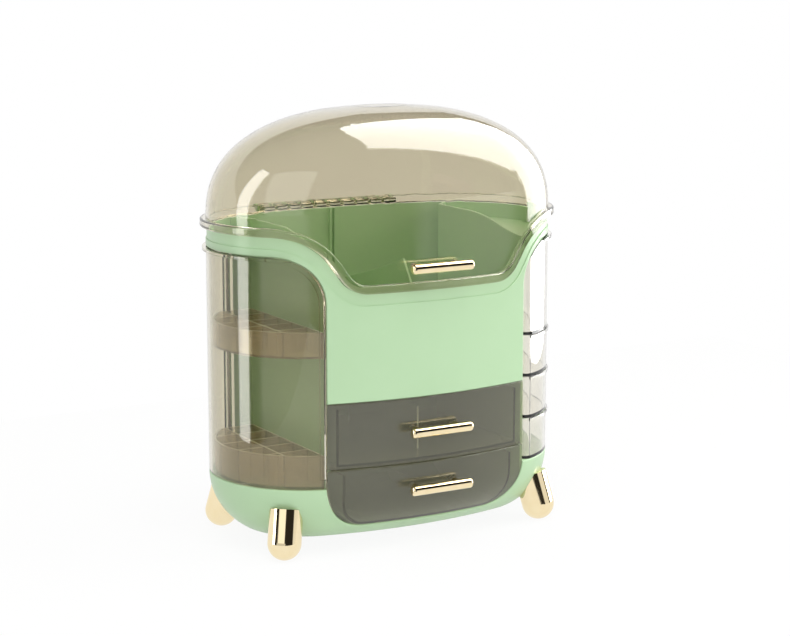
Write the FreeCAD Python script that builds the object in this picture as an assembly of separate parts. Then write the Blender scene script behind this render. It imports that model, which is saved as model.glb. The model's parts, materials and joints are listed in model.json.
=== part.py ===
import FreeCAD, Part
import math
import os
from FreeCAD import Vector

# Makeup organizer: an oval green body on four splayed feet, with a domed clear lid over a top bin,
# two clear drawers in front, a clear door on the left end and four clear swing trays on the right end.
# Millimetres. The origin is on the floor under the middle; front is -Y, right is +X, up is +Z.

# Plan: an oval of four tangent arcs, the same for all shells
HALF_LENGTH = 145.5
HALF_DEPTH = 85.5
END_STEP = 8.5

# Heights above the floor
BOWL_FLOOR = 12.0
BOWL_TOP = 55.4
DRAWER_SILL = 22.0
SHELF_Z = 70.0
APRON_Z = 122.0
RIM_Z = 250.0

# From the rim down to the clear end shells, and up to the dome's start and top
RIM_BAND = 15.6
LID_RISE = 5.0
DOME_HEIGHT = 85.0

# Fits and gaps
SEAM = 0.4
REST_GAP = 0.3
RUN_FIT = 0.05
PRESS_FIT = 0.02
OVERRUN = 5.0

# Rounding of edges that show, and how square two faces must be to count as an edge
EDGE_ROUND = 0.8
THIN_EDGE_ROUND = 0.5
SQUARE_SHARE = 0.9

# Bowl: its side is one arc from the brim in to the floor's edge
BOWL_FLOOR_INSET = 25.17
BOWL_WALL = 2.5
DECK_WALL = 2.5
RAIL_FROM_SIDE = 31.0
RAIL_WIDTH = 4.0

# Feet: round pegs that lean outwards, with a small flat pad
FOOT_RADIUS = 13.2
FOOT_BALL_Z = 12.7
FOOT_ANGLE = 49.1
FOOT_INSET = 2.9
FOOT_SPLAY = 16.0
FOOT_BOSS_REACH = 26.0
FOOT_BOSS_RADIUS = 6.0
FOOT_SCREW_RADIUS = 2.0
FOOT_SCREW_DEPTH = 16.0
FOOT_SCREW_HEAD = 3.6
FOOT_SCREW_HEAD_HEIGHT = 2.0

# Walls of the carcass
END_BAY = 56.5
PARTITION_WALL = 2.0
BACK_WALL = 2.5
COLLAR_WALL = 3.0
COLLAR_STEP = 0.8
COLLAR_STEP_HEIGHT = 9.5
INNER_RIM_GAP = 0.8
INNER_RIM_WALL = 1.5
INNER_RIM_RISE = 4.5
INNER_RIM_SEAT = 5.0
POCKET_FLOOR_WALL = 2.5
SHELF_WALL = 1.6
BIN_FLOOR_WALL = 2.5
LEDGE_HEIGHT = 1.6
LEDGE_WIDTH = 2.1
PARTITION_LOW_FRONT = 12.5
PARTITION_FLAT_END = 10.0
PARTITION_BEND = 45.0
BEND_BEFORE_PIVOT = 6.0

# Dip in the front of the rim: flat, hollow arc, slope, round arc that ends short of the body's end
DIP_DEPTH = 44.5
DIP_FROM_END = 17.8
DIP_RADIUS = 25.0
DIP_SLOPE = 55.0
DIP_SLOPE_LENGTH = 14.8

# Lid
LID_WALL = 2.2
FLANGE_REACH = 4.5
FLANGE_HEIGHT = 6.5
FLANGE_ROUND = 1.5
DOME_POWER = 2.42
DOME_SECTIONS = 10
DOME_LAST_ANGLE = 84.0

# Lid hinge: a row of barrels on the lid between thin ears on the collar, on one long pin
LID_HINGE_HALF = 65.0
LID_HINGE_RISE = 2.6
LID_HINGE_GAP = 4.0
LID_BARRELS = 10
LID_BARREL_RADIUS = 3.0
LID_EAR_WIDTH = 2.4
LID_EAR_HEIGHT = 7.0
HINGE_PIN_RADIUS = 1.5

# Door and side trays
SIDE_WALL = 2.2
SIDE_CORNER = 36.5
SIDE_LIP = 1.2
TOP_LIP = 3.0
LIP_HEIGHT = 2.2
DOOR_BAR_WIDTH = 3.4
DOOR_BAR_DEPTH = 4.0
DOOR_BAR_RISE = 6.7
PIVOT_FROM_END = 38.0
PIVOT_INSET = 5.0
LUG_RADIUS = 4.6
ROD_RADIUS = 1.5
ROD_SOCKET = 1.8
WING_BEFORE_PIVOT = 4.0
TRAY_CLEAR_OF_PARTITION = 2.0
TRAY_BACK_PAST_PIVOT = 2.5
TRAY_FRONT_ROUND = 6.0
TRAY_FLOOR_WALL = 2.0
TRAY_HEIGHT = 34.0
LOW_TRAYS = ("side_tray_low", "side_tray_second", "side_tray_third")

# Lipstick racks
RACK_CLEAR_OF_DOOR = 2.4
RACK_BEFORE_PIVOT = 7.5
RACK_WALL = 1.4
RACK_FLOOR_WALL = 1.6
RACK_COLUMNS = 2
RACK_ROWS = 5
UPPER_RACK_Z = 157.0
UPPER_RACK_HEIGHT = 20.0
LOWER_RACK_HEIGHT = 26.0
RACK_LEDGE_WIDTH = 4.0
RACK_LEDGE_SHORT = 8.0

# Drawers
DRAWER_FRONT_WALL = 3.0
DRAWER_SIDE_GAP = 3.9
LOWER_DRAWER_SIDE_GAP = 8.9
DRAWER_WALL = 2.0
DRAWER_BACK_GAP = 30.5
DRAWER_BOX_BELOW_TOP = 4.5
LOWER_DRAWER_ROUND = 36.0
LOWER_BOX_RISE = 1.0
DIVIDER_WALL = 1.6
DIVIDER_BELOW_BOX = 9.2
DIVIDER_FROM_FRONT = 27.5

# Top bin divider: upright plate with a swept top, placed from the body's back and front and from the rim
FIN_WALL = 2.0
FIN_FROM_BACK = 3.5
FIN_BACK_DROP = 60.0
FIN_SWEEP_RUN_SHARE = 0.481
FIN_SWEEP_RISE_SHARE = 0.410
FIN_PEAK_FROM_FRONT = 49.0
FIN_PEAK_DROP = 27.3
FIN_NOSE_FROM_FRONT = 33.5
FIN_NOSE_DROP = 51.0
FIN_FOOT_FROM_FRONT = 29.5
RIB_WIDTH = 1.5
RIB_DEPTH = 3.0

# Handles
HANDLE_LENGTH = 54.5
HANDLE_RADIUS = 4.0
HANDLE_ROUND = 2.4
HANDLE_STAND = 10.5
HANDLE_POST_X = 18.0
HANDLE_POST_RADIUS = 2.6
LID_HANDLE_RISE = 18.0
UPPER_HANDLE_RISE = 26.5
LOWER_HANDLE_DROP = 19.0
HANDLE_SCREW_RADIUS = 1.25
HANDLE_SCREW_DEPTH = 6.0
HANDLE_SCREW_HEAD = 2.8
HANDLE_SCREW_HEAD_HEIGHT = 1.6

# Worked out from the sizes above
SHELL_TOP = RIM_Z - RIM_BAND
DOME_BASE = RIM_Z + LID_RISE
DOME_TOP = DOME_BASE + DOME_HEIGHT
DIP_Z = RIM_Z - DIP_DEPTH
END_RADIUS = HALF_DEPTH - END_STEP
END_CENTER = HALF_LENGTH - END_RADIUS
FRONT_RADIUS = (END_CENTER ** 2 + HALF_DEPTH ** 2 - END_RADIUS ** 2) / (2 * (HALF_DEPTH - END_RADIUS))
FRONT_CENTER = FRONT_RADIUS - HALF_DEPTH
JOIN_ANGLE = math.atan2(FRONT_CENTER, END_CENTER)
REACH = HALF_LENGTH + HALF_DEPTH + DOME_TOP
BOWL_DEPTH = BOWL_TOP - BOWL_FLOOR
BOWL_RADIUS = (BOWL_DEPTH ** 2 + BOWL_FLOOR_INSET ** 2) / (2 * BOWL_FLOOR_INSET)
FOOT_X = END_CENTER + (END_RADIUS - FOOT_INSET) * math.cos(math.radians(FOOT_ANGLE))
FOOT_Y = (END_RADIUS - FOOT_INSET) * math.sin(math.radians(FOOT_ANGLE))
PIVOT_X = HALF_LENGTH - PIVOT_FROM_END
PIVOT_Y = math.sqrt((END_RADIUS - PIVOT_INSET) ** 2 - (PIVOT_X - END_CENTER) ** 2)
LID_HINGE_Y = HALF_DEPTH + FLANGE_REACH + LID_HINGE_GAP + LID_BARREL_RADIUS
LID_HINGE_Z = RIM_Z + LID_HINGE_RISE
PARTITION_X = HALF_LENGTH - END_BAY
PARTITION_IN = PARTITION_X - PARTITION_WALL
BEND_Y = PIVOT_Y - BEND_BEFORE_PIVOT
INSIDE_FRONT = max(DRAWER_FRONT_WALL, COLLAR_WALL) + REST_GAP
TRAY_IN = PARTITION_X + TRAY_CLEAR_OF_PARTITION
RACK_BACK_Y = PIVOT_Y - RACK_BEFORE_PIVOT
DRAWER_FRONT_HALF = PARTITION_X
DRAWER_BOX_HALF = PARTITION_IN - LEDGE_WIDTH - DRAWER_SIDE_GAP
LOWER_BOX_HALF = PARTITION_IN - LEDGE_WIDTH - LOWER_DRAWER_SIDE_GAP
DRAWER_BACK_Y = HALF_DEPTH - DRAWER_BACK_GAP
LOWER_BOX_Z = DRAWER_SILL + LOWER_BOX_RISE
RAIL_X = LOWER_BOX_HALF - RAIL_FROM_SIDE
FIN_BACK_Y = HALF_DEPTH - FIN_FROM_BACK
LID_HANDLE_Z = DIP_Z + LID_HANDLE_RISE
UPPER_HANDLE_Z = SHELF_Z + UPPER_HANDLE_RISE
LOWER_HANDLE_Z = SHELF_Z - LOWER_HANDLE_DROP
UP = Vector(0, 0, 1)
ALONG = Vector(1, 0, 0)
INWARD = Vector(0, 1, 0)
ORIGIN = Vector(0, 0, 0)


# Shared shapes

def box(x_low, x_high, y_low, y_high, z_low, z_high):
    """Box between two corners."""
    return Part.makeBox(x_high - x_low, y_high - y_low, z_high - z_low, Vector(x_low, y_low, z_low))


def rod(radius, start, direction, length):
    """Round bar from a start point."""
    return Part.makeCylinder(radius, length, start, direction)


def joined(first, *others):
    """One solid out of several."""
    return first.multiFuse(list(others)).removeSplitter()


def softened(shape, radius, chosen):
    """Shape with its sharp edges rounded where their middle is chosen."""
    edges = []
    for edge in shape.Edges:
        middle = edge.valueAt((edge.FirstParameter + edge.LastParameter) / 2)
        faces = shape.ancestorsOfType(edge, Part.Face)
        normals = [face.normalAt(*face.Surface.parameter(middle)) for face in faces]
        if len(normals) == 2 and abs(normals[0].dot(normals[1])) < SQUARE_SHARE and chosen(middle):
            edges.append(edge)
    return shape.makeFillet(radius, edges)


def outside_of(core):
    """Test for points outside a solid."""
    return lambda point: not core.isInside(point, PRESS_FIT, True)


def mirrored(shape):
    """The same shape on the other end of the body."""
    return shape.mirror(ORIGIN, ALONG)


def oval_wire(offset, height, scale=1):
    """Oval of the body, offset outwards, scaled about its middle."""
    def at(x, y):
        return Vector(x * scale, y * scale, height)

    end = END_RADIUS + offset
    tip = END_CENTER + end
    join_x = END_CENTER + end * math.cos(JOIN_ANGLE)
    join_y = end * math.sin(JOIN_ANGLE)
    middle = HALF_DEPTH + offset
    arcs = [
        Part.Arc(at(join_x, -join_y), at(tip, 0), at(join_x, join_y)),
        Part.Arc(at(join_x, join_y), at(0, middle), at(-join_x, join_y)),
        Part.Arc(at(-join_x, join_y), at(-tip, 0), at(-join_x, -join_y)),
        Part.Arc(at(-join_x, -join_y), at(0, -middle), at(join_x, -join_y)),
    ]
    return Part.Wire([arc.toShape() for arc in arcs])


def oval_block(offset, low, high):
    """Upright solid over the oval."""
    return Part.Face(oval_wire(offset, low)).extrude(UP * (high - low))


def oval_ring(outer, inner, low, high):
    """Upright wall between two offsets of the oval."""
    return oval_block(outer, low, high).cut(oval_block(inner, low - OVERRUN, high + OVERRUN))


def bowl_block(inset):
    """Solid bowl, inset from its outside and floor, up to the bowl's top."""
    floor = BOWL_FLOOR + inset
    radius = BOWL_RADIUS - inset
    drop = math.asin((BOWL_TOP - floor) / radius)
    edge = radius * math.cos(drop) - BOWL_RADIUS
    half = math.degrees(JOIN_ANGLE)
    corners = (
        (END_CENTER, 0, END_RADIUS, -half, 2 * half),
        (-END_CENTER, 0, END_RADIUS, 180 - half, 2 * half),
        (0, FRONT_CENTER, FRONT_RADIUS, half - 180, 180 - 2 * half),
        (0, -FRONT_CENTER, FRONT_RADIUS, half, 180 - 2 * half),
    )
    sectors = []
    for center_x, center_y, arc_radius, start, sweep in corners:
        foot = Vector(arc_radius + edge, 0, floor)
        middle = Vector(
            arc_radius - BOWL_RADIUS + radius * math.cos(drop / 2), 0, BOWL_TOP - radius * math.sin(drop / 2))
        brim = Vector(arc_radius - inset, 0, BOWL_TOP)
        top = Vector(arc_radius + edge, 0, BOWL_TOP)
        wall = Part.Arc(foot, middle, brim).toShape()
        profile = Part.Face(Part.Wire([wall, Part.makeLine(brim, top), Part.makeLine(top, foot)]))
        profile.rotate(ORIGIN, UP, start)
        profile.translate(Vector(center_x, center_y, 0))
        sectors.append(profile.revolve(Vector(center_x, center_y, 0), UP, sweep))
    return joined(oval_block(edge, floor, BOWL_TOP), *sectors)


def body_block(inset, top):
    """Bowl with the upright shell over it, as one solid."""
    return joined(bowl_block(inset), oval_block(-inset, BOWL_TOP, top))


def front_prism(edges, y_low, y_high):
    """Outline in the front plane, pulled from one depth to another."""
    face = Part.Face(Part.Wire(edges))
    face.translate(INWARD * y_low)
    return face.extrude(INWARD * (y_high - y_low))


def tray_outline(half, low, high, corner):
    """Front outline with two round bottom corners."""
    turn = corner * (1 - math.sqrt(1 / 2))
    right_low = Vector(half - corner, 0, low)
    right_up = Vector(half, 0, low + corner)
    left_low = Vector(corner - half, 0, low)
    left_up = Vector(-half, 0, low + corner)
    right_top = Vector(half, 0, high)
    left_top = Vector(-half, 0, high)
    return [
        Part.makeLine(left_low, right_low),
        Part.Arc(right_low, Vector(half - turn, 0, low + turn), right_up).toShape(),
        Part.makeLine(right_up, right_top),
        Part.makeLine(right_top, left_top),
        Part.makeLine(left_top, left_up),
        Part.Arc(left_up, Vector(turn - half, 0, low + turn), left_low).toShape(),
    ]


def side_region(grow):
    """Where the right end's clear shell is, with its round top front corner, grown all round."""
    inner = PARTITION_X - grow
    top = SHELL_TOP + grow
    radius = SIDE_CORNER + grow
    turn = radius * (1 - math.sqrt(1 / 2))
    low = BOWL_TOP - grow
    corner_up = Vector(inner + radius, 0, top)
    corner_side = Vector(inner, 0, top - radius)
    far_top = Vector(REACH, 0, top)
    far_low = Vector(REACH, 0, low)
    near_low = Vector(inner, 0, low)
    edges = [
        Part.Arc(corner_side, Vector(inner + turn, 0, top - turn), corner_up).toShape(),
        Part.makeLine(corner_up, far_top),
        Part.makeLine(far_top, far_low),
        Part.makeLine(far_low, near_low),
        Part.makeLine(near_low, corner_side),
    ]
    return front_prism(edges, -REACH, 0)


def above_dip(grow):
    """Everything over the rim line, which dips in front, with the line moved up by grow."""
    slope = math.radians(DIP_SLOPE)
    rise = DIP_DEPTH - DIP_SLOPE_LENGTH * math.sin(slope)
    crest_radius = rise / (1 - math.cos(slope)) - DIP_RADIUS
    crest_x = HALF_LENGTH - DIP_FROM_END
    flat_x = crest_x - (DIP_RADIUS + crest_radius) * math.sin(slope) - DIP_SLOPE_LENGTH * math.cos(slope)
    low = DIP_RADIUS - grow
    high = crest_radius + grow

    def half_line(side):
        def on_low(angle):
            return Vector(
                side * (flat_x + low * math.sin(angle)), 0, DIP_Z + DIP_RADIUS - low * math.cos(angle))

        def on_crest(angle):
            return Vector(
                side * (crest_x - high * math.sin(angle)), 0, RIM_Z - crest_radius + high * math.cos(angle))

        far = Vector(side * REACH, 0, RIM_Z + grow)
        return [
            Part.Arc(on_low(0), on_low(slope / 2), on_low(slope)).toShape(),
            Part.makeLine(on_low(slope), on_crest(slope)),
            Part.Arc(on_crest(slope), on_crest(slope / 2), on_crest(0)).toShape(),
            Part.makeLine(on_crest(0), far),
            Part.makeLine(far, Vector(side * REACH, 0, REACH)),
        ]

    flat = Part.makeLine(Vector(-flat_x, 0, DIP_Z + grow), Vector(flat_x, 0, DIP_Z + grow))
    lid = Part.makeLine(Vector(-REACH, 0, REACH), Vector(REACH, 0, REACH))
    edges = Part.sortEdges(half_line(1) + half_line(-1) + [flat, lid])[0]
    front = front_prism(edges, -REACH, 0)
    return joined(front, box(-REACH, REACH, 0, REACH, RIM_Z + grow, REACH))


def between_partitions(grow, low, high):
    """Room between the partitions, which turn outwards at the back, grown past their inner faces."""
    turn = math.radians(PARTITION_BEND)
    half = PARTITION_IN + grow
    bend = BEND_Y - grow * math.tan(turn / 2)
    far_x = half + REACH * math.sin(turn)
    far_y = bend + REACH * math.cos(turn)
    outline = Part.makePolygon([
        Vector(half, -REACH, low),
        Vector(half, bend, low),
        Vector(far_x, far_y, low),
        Vector(-far_x, far_y, low),
        Vector(-half, bend, low),
        Vector(-half, -REACH, low),
        Vector(half, -REACH, low),
    ])
    return Part.Face(outline).extrude(UP * (high - low))


# Base and feet

def foot_axis(side_x, side_y):
    """Middle of a foot's ball, and the way its peg leans up and inwards."""
    ball = Vector(side_x * FOOT_X, side_y * FOOT_Y, FOOT_BALL_Z)
    outward = Vector(side_x * (FOOT_X - END_CENTER), side_y * FOOT_Y, 0).normalize()
    lean = math.radians(FOOT_SPLAY)
    return ball, UP * math.cos(lean) - outward * math.sin(lean)


FOOT_SIDES = {
    "foot_front_left": (-1, -1),
    "foot_front_right": (1, -1),
    "foot_back_left": (-1, 1),
    "foot_back_right": (1, 1),
}


def foot(sides):
    """Round peg under the bowl, with a screw hole along its middle."""
    ball, lean = foot_axis(*sides)
    peg = joined(Part.makeSphere(FOOT_RADIUS, ball), rod(FOOT_RADIUS, ball, lean, FOOT_BOSS_REACH))
    peg = peg.cut(box(-REACH, REACH, -REACH, REACH, -REACH, 0)).cut(bowl_block(0))
    bottom = ball + lean * (FOOT_BOSS_REACH - FOOT_SCREW_DEPTH)
    hole = rod(FOOT_SCREW_RADIUS + PRESS_FIT, bottom, lean, REACH)
    return max(peg.cut(hole).Solids, key=lambda solid: -solid.CenterOfMass.z)


def foot_screws():
    """Pan head screws that hold the feet, from inside the bowl."""
    screws = []
    for sides in FOOT_SIDES.values():
        ball, lean = foot_axis(*sides)
        seat = ball + lean * FOOT_BOSS_REACH
        shank = rod(FOOT_SCREW_RADIUS, seat - lean * FOOT_SCREW_DEPTH, lean, FOOT_SCREW_DEPTH)
        head = rod(FOOT_SCREW_HEAD, seat, lean, FOOT_SCREW_HEAD_HEIGHT)
        screws.append(joined(shank, head))
    return Part.makeCompound(screws)


def base_bowl():
    """Green bowl with end decks, a bay for the lower drawer, its rails and the foot bosses."""
    outside = bowl_block(0)
    shell = outside.cut(bowl_block(BOWL_WALL))
    outline = tray_outline(
        DRAWER_FRONT_HALF + SEAM, DRAWER_SILL - SEAM,
        max(BOWL_TOP, DRAWER_SILL + LOWER_DRAWER_ROUND) + OVERRUN, LOWER_DRAWER_ROUND)
    mouth = front_prism(outline, -REACH, -HALF_DEPTH / 2).cut(bowl_block(INSIDE_FRONT))
    pieces = []
    for side in (1, -1):
        near, far = sorted((side * PARTITION_IN, side * REACH))
        pieces.append(outside.common(box(near, far, -REACH, REACH, BOWL_TOP - DECK_WALL, BOWL_TOP)))
        near, far = sorted((side * PARTITION_IN, side * PARTITION_X))
        pieces.append(outside.common(box(near, far, -REACH, REACH, BOWL_FLOOR, BOWL_TOP)))
        rail = side * RAIL_X
        pieces.append(outside.common(box(
            rail - RAIL_WIDTH / 2, rail + RAIL_WIDTH / 2, -REACH, REACH, BOWL_FLOOR, LOWER_BOX_Z - REST_GAP)))
    for sides in FOOT_SIDES.values():
        ball, lean = foot_axis(*sides)
        pieces.append(outside.common(rod(FOOT_BOSS_RADIUS, ball, lean, FOOT_BOSS_REACH)))
    bowl = joined(shell, *pieces).cut(mouth)
    skin = outside_of(bowl_block(EDGE_ROUND))
    bowl = softened(bowl, EDGE_ROUND, lambda point: skin(point) and BOWL_FLOOR + EDGE_ROUND < point.z)
    for sides in FOOT_SIDES.values():
        ball, lean = foot_axis(*sides)
        bowl = bowl.cut(rod(FOOT_SCREW_RADIUS + RUN_FIT, ball, lean, FOOT_BOSS_REACH + OVERRUN))
    for side in (1, -1):
        socket = Vector(side * PIVOT_X, PIVOT_Y, BOWL_TOP - ROD_SOCKET)
        bowl = bowl.cut(rod(ROD_RADIUS + PRESS_FIT, socket, UP, ROD_SOCKET + OVERRUN))
    return bowl


# Carcass walls

def partition_profile():
    """Side view of a partition: upright, with a top edge that sweeps down to the front."""
    front = -HALF_DEPTH
    low_z = RIM_Z - PARTITION_LOW_FRONT
    run = (PARTITION_FLAT_END - front) / 2
    drop = PARTITION_LOW_FRONT / 2
    radius = (run ** 2 + drop ** 2) / (2 * drop)
    half_turn = math.asin(run / radius) / 2
    across = radius * math.sin(half_turn)
    down = radius * (1 - math.cos(half_turn))
    back_top = Vector(0, HALF_DEPTH, RIM_Z)
    flat_end = Vector(0, PARTITION_FLAT_END, RIM_Z)
    middle = Vector(0, PARTITION_FLAT_END - run, RIM_Z - drop)
    front_top = Vector(0, front, low_z)
    front_low = Vector(0, front, BOWL_TOP)
    back_low = Vector(0, HALF_DEPTH, BOWL_TOP)
    return Part.Face(Part.Wire([
        Part.makeLine(back_top, flat_end),
        Part.Arc(flat_end, Vector(0, PARTITION_FLAT_END - across, RIM_Z - down), middle).toShape(),
        Part.Arc(middle, Vector(0, front + across, low_z + down), front_top).toShape(),
        Part.makeLine(front_top, front_low),
        Part.makeLine(front_low, back_low),
        Part.makeLine(back_low, back_top),
    ]))


def partition():
    """Right partition, turned outwards at the back, with ledges for the shelf and the bin floor."""
    plan = between_partitions(PARTITION_WALL, 0, REACH).cut(between_partitions(0, -OVERRUN, REACH + OVERRUN))
    plate = partition_profile().extrude(ALONG * REACH).common(plan)
    ledges = [
        box(PARTITION_IN - LEDGE_WIDTH, PARTITION_IN, -REACH, DRAWER_BACK_Y, top - LEDGE_HEIGHT, top)
        for top in (SHELF_Z, APRON_Z)
    ]
    wall = joined(plate, *ledges).common(oval_block(-INSIDE_FRONT, 0, REACH))
    sweep = RIM_Z - PARTITION_LOW_FRONT - EDGE_ROUND
    return softened(wall, THIN_EDGE_ROUND, lambda point: point.z > sweep)


def left_partition():
    """Left partition, which also carries the upper lipstick rack on a ledge."""
    half = RACK_BACK_Y - RACK_LEDGE_SHORT
    low = UPPER_RACK_Z - RACK_FLOOR_WALL
    ledge = box(-PARTITION_X - RACK_LEDGE_WIDTH, -PARTITION_X, -half, half, low, UPPER_RACK_Z)
    return joined(mirrored(partition()), ledge)


def back_panel():
    """Lower back wall, with a wing up each rear corner behind the pivots."""
    high = SHELL_TOP + SEAM
    wall = oval_ring(0, -BACK_WALL, BOWL_TOP, high)
    wing_end = PIVOT_X - WING_BEFORE_PIVOT
    region = box(-wing_end, wing_end, 0, REACH, BOWL_TOP, high)
    opening = box(-PARTITION_X, PARTITION_X, 0, REACH, APRON_Z, high + OVERRUN)
    return wall.common(region).cut(opening)


def drawer_shelf():
    """Plate between the drawers, on the ledges."""
    plate = between_partitions(-REST_GAP, SHELF_Z, SHELF_Z + SHELF_WALL)
    return plate.common(oval_block(-INSIDE_FRONT, 0, REACH))


def bin_floor():
    """Floor of the top bin, on the ledges over the upper drawer."""
    plate = between_partitions(-REST_GAP, APRON_Z, APRON_Z + BIN_FLOOR_WALL)
    return plate.common(oval_block(-INSIDE_FRONT, 0, REACH))


def hinge_spans():
    """Left and right sides of the lid hinge's ears, and of the barrels between them."""
    pitch = (2 * LID_HINGE_HALF - LID_EAR_WIDTH) / LID_BARRELS
    starts = [number * pitch - LID_HINGE_HALF for number in range(LID_BARRELS + 1)]
    ears = [(start, start + LID_EAR_WIDTH) for start in starts]
    barrels = [(start + LID_EAR_WIDTH + REST_GAP, start + pitch - REST_GAP) for start in starts[:-1]]
    return ears, barrels


def hinge_rod(radius, low, high):
    """Round bar on the lid hinge's axis."""
    return rod(radius, Vector(low, LID_HINGE_Y, LID_HINGE_Z), ALONG, high - low)


def hinge_ears():
    """Thin ears behind the collar that hold the lid hinge's pin."""
    ears = []
    foot_low = RIM_Z - SEAM - LID_EAR_HEIGHT
    neck = LID_BARREL_RADIUS / 2
    for low, high in hinge_spans()[0]:
        arm = box(low, high, 0, LID_HINGE_Y + neck, foot_low, RIM_Z - SEAM)
        arm = arm.cut(oval_block(-COLLAR_WALL / 2, 0, REACH))
        web = box(low, high, LID_HINGE_Y - neck, LID_HINGE_Y + neck, foot_low, LID_HINGE_Z)
        ears.append(joined(hinge_rod(LID_BARREL_RADIUS, low, high), arm, web))
    return ears


def collar_edge():
    """Test for places on the collar's outside, under its step."""
    skin = outside_of(oval_block(-COLLAR_STEP / 2, 0, REACH))
    band = outside_of(above_dip(-COLLAR_STEP_HEIGHT - EDGE_ROUND))
    return lambda point: skin(point) and band(point)


def inner_rim():
    """Low rim on the collar's front that stands up inside the lid's skirt, broken at the partitions."""
    outer = -LID_WALL - INNER_RIM_GAP
    inner = outer - INNER_RIM_WALL
    band = above_dip(-INNER_RIM_SEAT)
    seat = oval_ring(-COLLAR_WALL / 2, inner, APRON_Z, RIM_Z).common(band).cut(above_dip(-SEAM))
    rise = oval_ring(outer, inner, APRON_Z, RIM_Z + INNER_RIM_RISE).common(band)
    rise = rise.cut(above_dip(INNER_RIM_RISE))
    slots = between_partitions(PARTITION_WALL + REST_GAP, 0, REACH)
    slots = slots.cut(between_partitions(-REST_GAP, -OVERRUN, REACH + OVERRUN))
    return joined(seat, rise).cut(slots).common(box(-REACH, REACH, -REACH, 0, 0, REACH)).Solids


def upper_collar():
    """Green oval band with aprons, an inner rim, end pocket floors, divider ribs and hinge ears."""
    wall = oval_ring(0, -COLLAR_WALL, APRON_Z, RIM_Z)
    wall = wall.cut(above_dip(-SEAM))
    step = oval_ring(OVERRUN, -COLLAR_STEP, APRON_Z, RIM_Z)
    wall = wall.cut(step.common(above_dip(-COLLAR_STEP_HEIGHT)))
    for shape in (side_region(SEAM), mirrored(side_region(SEAM))):
        wall = wall.cut(shape)
    for side in (1, -1):
        near, far = sorted((side * PARTITION_X, side * REACH))
        wall = wall.cut(box(near, far, 0, REACH, 0, SHELL_TOP + SEAM))
    wall = softened(wall, EDGE_ROUND, collar_edge())
    lid_room = oval_ring(OVERRUN, -LID_WALL - SEAM, APRON_Z, RIM_Z).common(above_dip(-SEAM))
    floor_z = SHELL_TOP + SEAM
    floors = oval_block(-COLLAR_WALL / 2, floor_z, floor_z + POCKET_FLOOR_WALL).cut(lid_room)
    floors = floors.cut(between_partitions(PARTITION_WALL + REST_GAP, 0, REACH))
    pieces = floors.Solids + inner_rim() + hinge_ears()
    for side in (1, -1):
        inner = side * (FIN_WALL / 2 + REST_GAP)
        low, high = sorted((inner, inner + side * RIB_WIDTH))
        rib_front = FIN_BACK_Y + REST_GAP - RIB_DEPTH
        rib_low = APRON_Z + BIN_FLOOR_WALL + REST_GAP
        rib = box(low, high, rib_front, REACH, rib_low, RIM_Z - SEAM)
        pieces.append(rib.common(oval_block(-COLLAR_WALL / 2, 0, REACH)))
    collar = joined(wall, *pieces)
    for side in (1, -1):
        socket = Vector(side * PIVOT_X, PIVOT_Y, SHELL_TOP)
        collar = collar.cut(rod(ROD_RADIUS + PRESS_FIT, socket, UP, SEAM + ROD_SOCKET))
    return collar.cut(hinge_rod(HINGE_PIN_RADIUS + PRESS_FIT, -REACH, REACH))


def bin_divider():
    """Upright plate in the middle of the top bin, with a swept top edge."""
    floor = APRON_Z + BIN_FLOOR_WALL
    x = -FIN_WALL / 2
    back_low = Vector(x, FIN_BACK_Y, floor)
    back_top = Vector(x, FIN_BACK_Y, RIM_Z - FIN_BACK_DROP)
    peak = Vector(x, FIN_PEAK_FROM_FRONT - HALF_DEPTH, RIM_Z - FIN_PEAK_DROP)
    nose = Vector(x, FIN_NOSE_FROM_FRONT - HALF_DEPTH, RIM_Z - FIN_NOSE_DROP)
    front_low = Vector(x, FIN_FOOT_FROM_FRONT - HALF_DEPTH, floor)
    run = (peak.y - back_top.y) * FIN_SWEEP_RUN_SHARE
    rise = (peak.z - back_top.z) * FIN_SWEEP_RISE_SHARE
    sweep = Part.Arc(back_top, back_top + Vector(0, run, rise), peak).toShape()
    outline = Part.Wire([
        Part.makeLine(back_low, back_top),
        sweep,
        Part.makeLine(peak, nose),
        Part.makeLine(nose, front_low),
        Part.makeLine(front_low, back_low),
    ])
    plate = Part.Face(outline).extrude(ALONG * FIN_WALL)
    return softened(plate, THIN_EDGE_ROUND, lambda point: point.z > floor + THIN_EDGE_ROUND)


def lipstick_rack(low, height):
    """Clear rack with square cells that follows the left end's curve."""
    offset = -SIDE_WALL - RACK_CLEAR_OF_DOOR
    near = -PARTITION_X - REST_GAP
    front = -math.sqrt((END_RADIUS + offset) ** 2 - (PARTITION_X - END_CENTER) ** 2)
    plan = box(-REACH, near, -REACH, RACK_BACK_Y, low, low + height)
    block = plan.common(oval_block(offset, 0, REACH))
    hollow = oval_block(offset - RACK_WALL, 0, REACH)
    width = HALF_LENGTH + offset - PARTITION_X
    pitch_x = (width - RACK_WALL) / RACK_COLUMNS
    pitch_y = (RACK_BACK_Y - front - RACK_WALL) / RACK_ROWS
    for column in range(RACK_COLUMNS):
        for row in range(RACK_ROWS):
            right = near - RACK_WALL - column * pitch_x
            back = RACK_BACK_Y - RACK_WALL - row * pitch_y
            cell = box(
                right - pitch_x + RACK_WALL, right, back - pitch_y + RACK_WALL, back,
                low + RACK_FLOOR_WALL, low + height + OVERRUN)
            block = block.cut(cell.common(hollow))
    return block


def pivot_rod(side):
    """Steel rod from the deck up to the pocket floor."""
    low = BOWL_TOP - ROD_SOCKET
    return rod(ROD_RADIUS, Vector(side * PIVOT_X, PIVOT_Y, low), UP, SHELL_TOP + SEAM + ROD_SOCKET - low)


def lid_hinge_pin():
    """Long pin of the lid hinge, through all ears and barrels."""
    return hinge_rod(HINGE_PIN_RADIUS, -LID_HINGE_HALF, LID_HINGE_HALF)


# Lid

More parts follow.
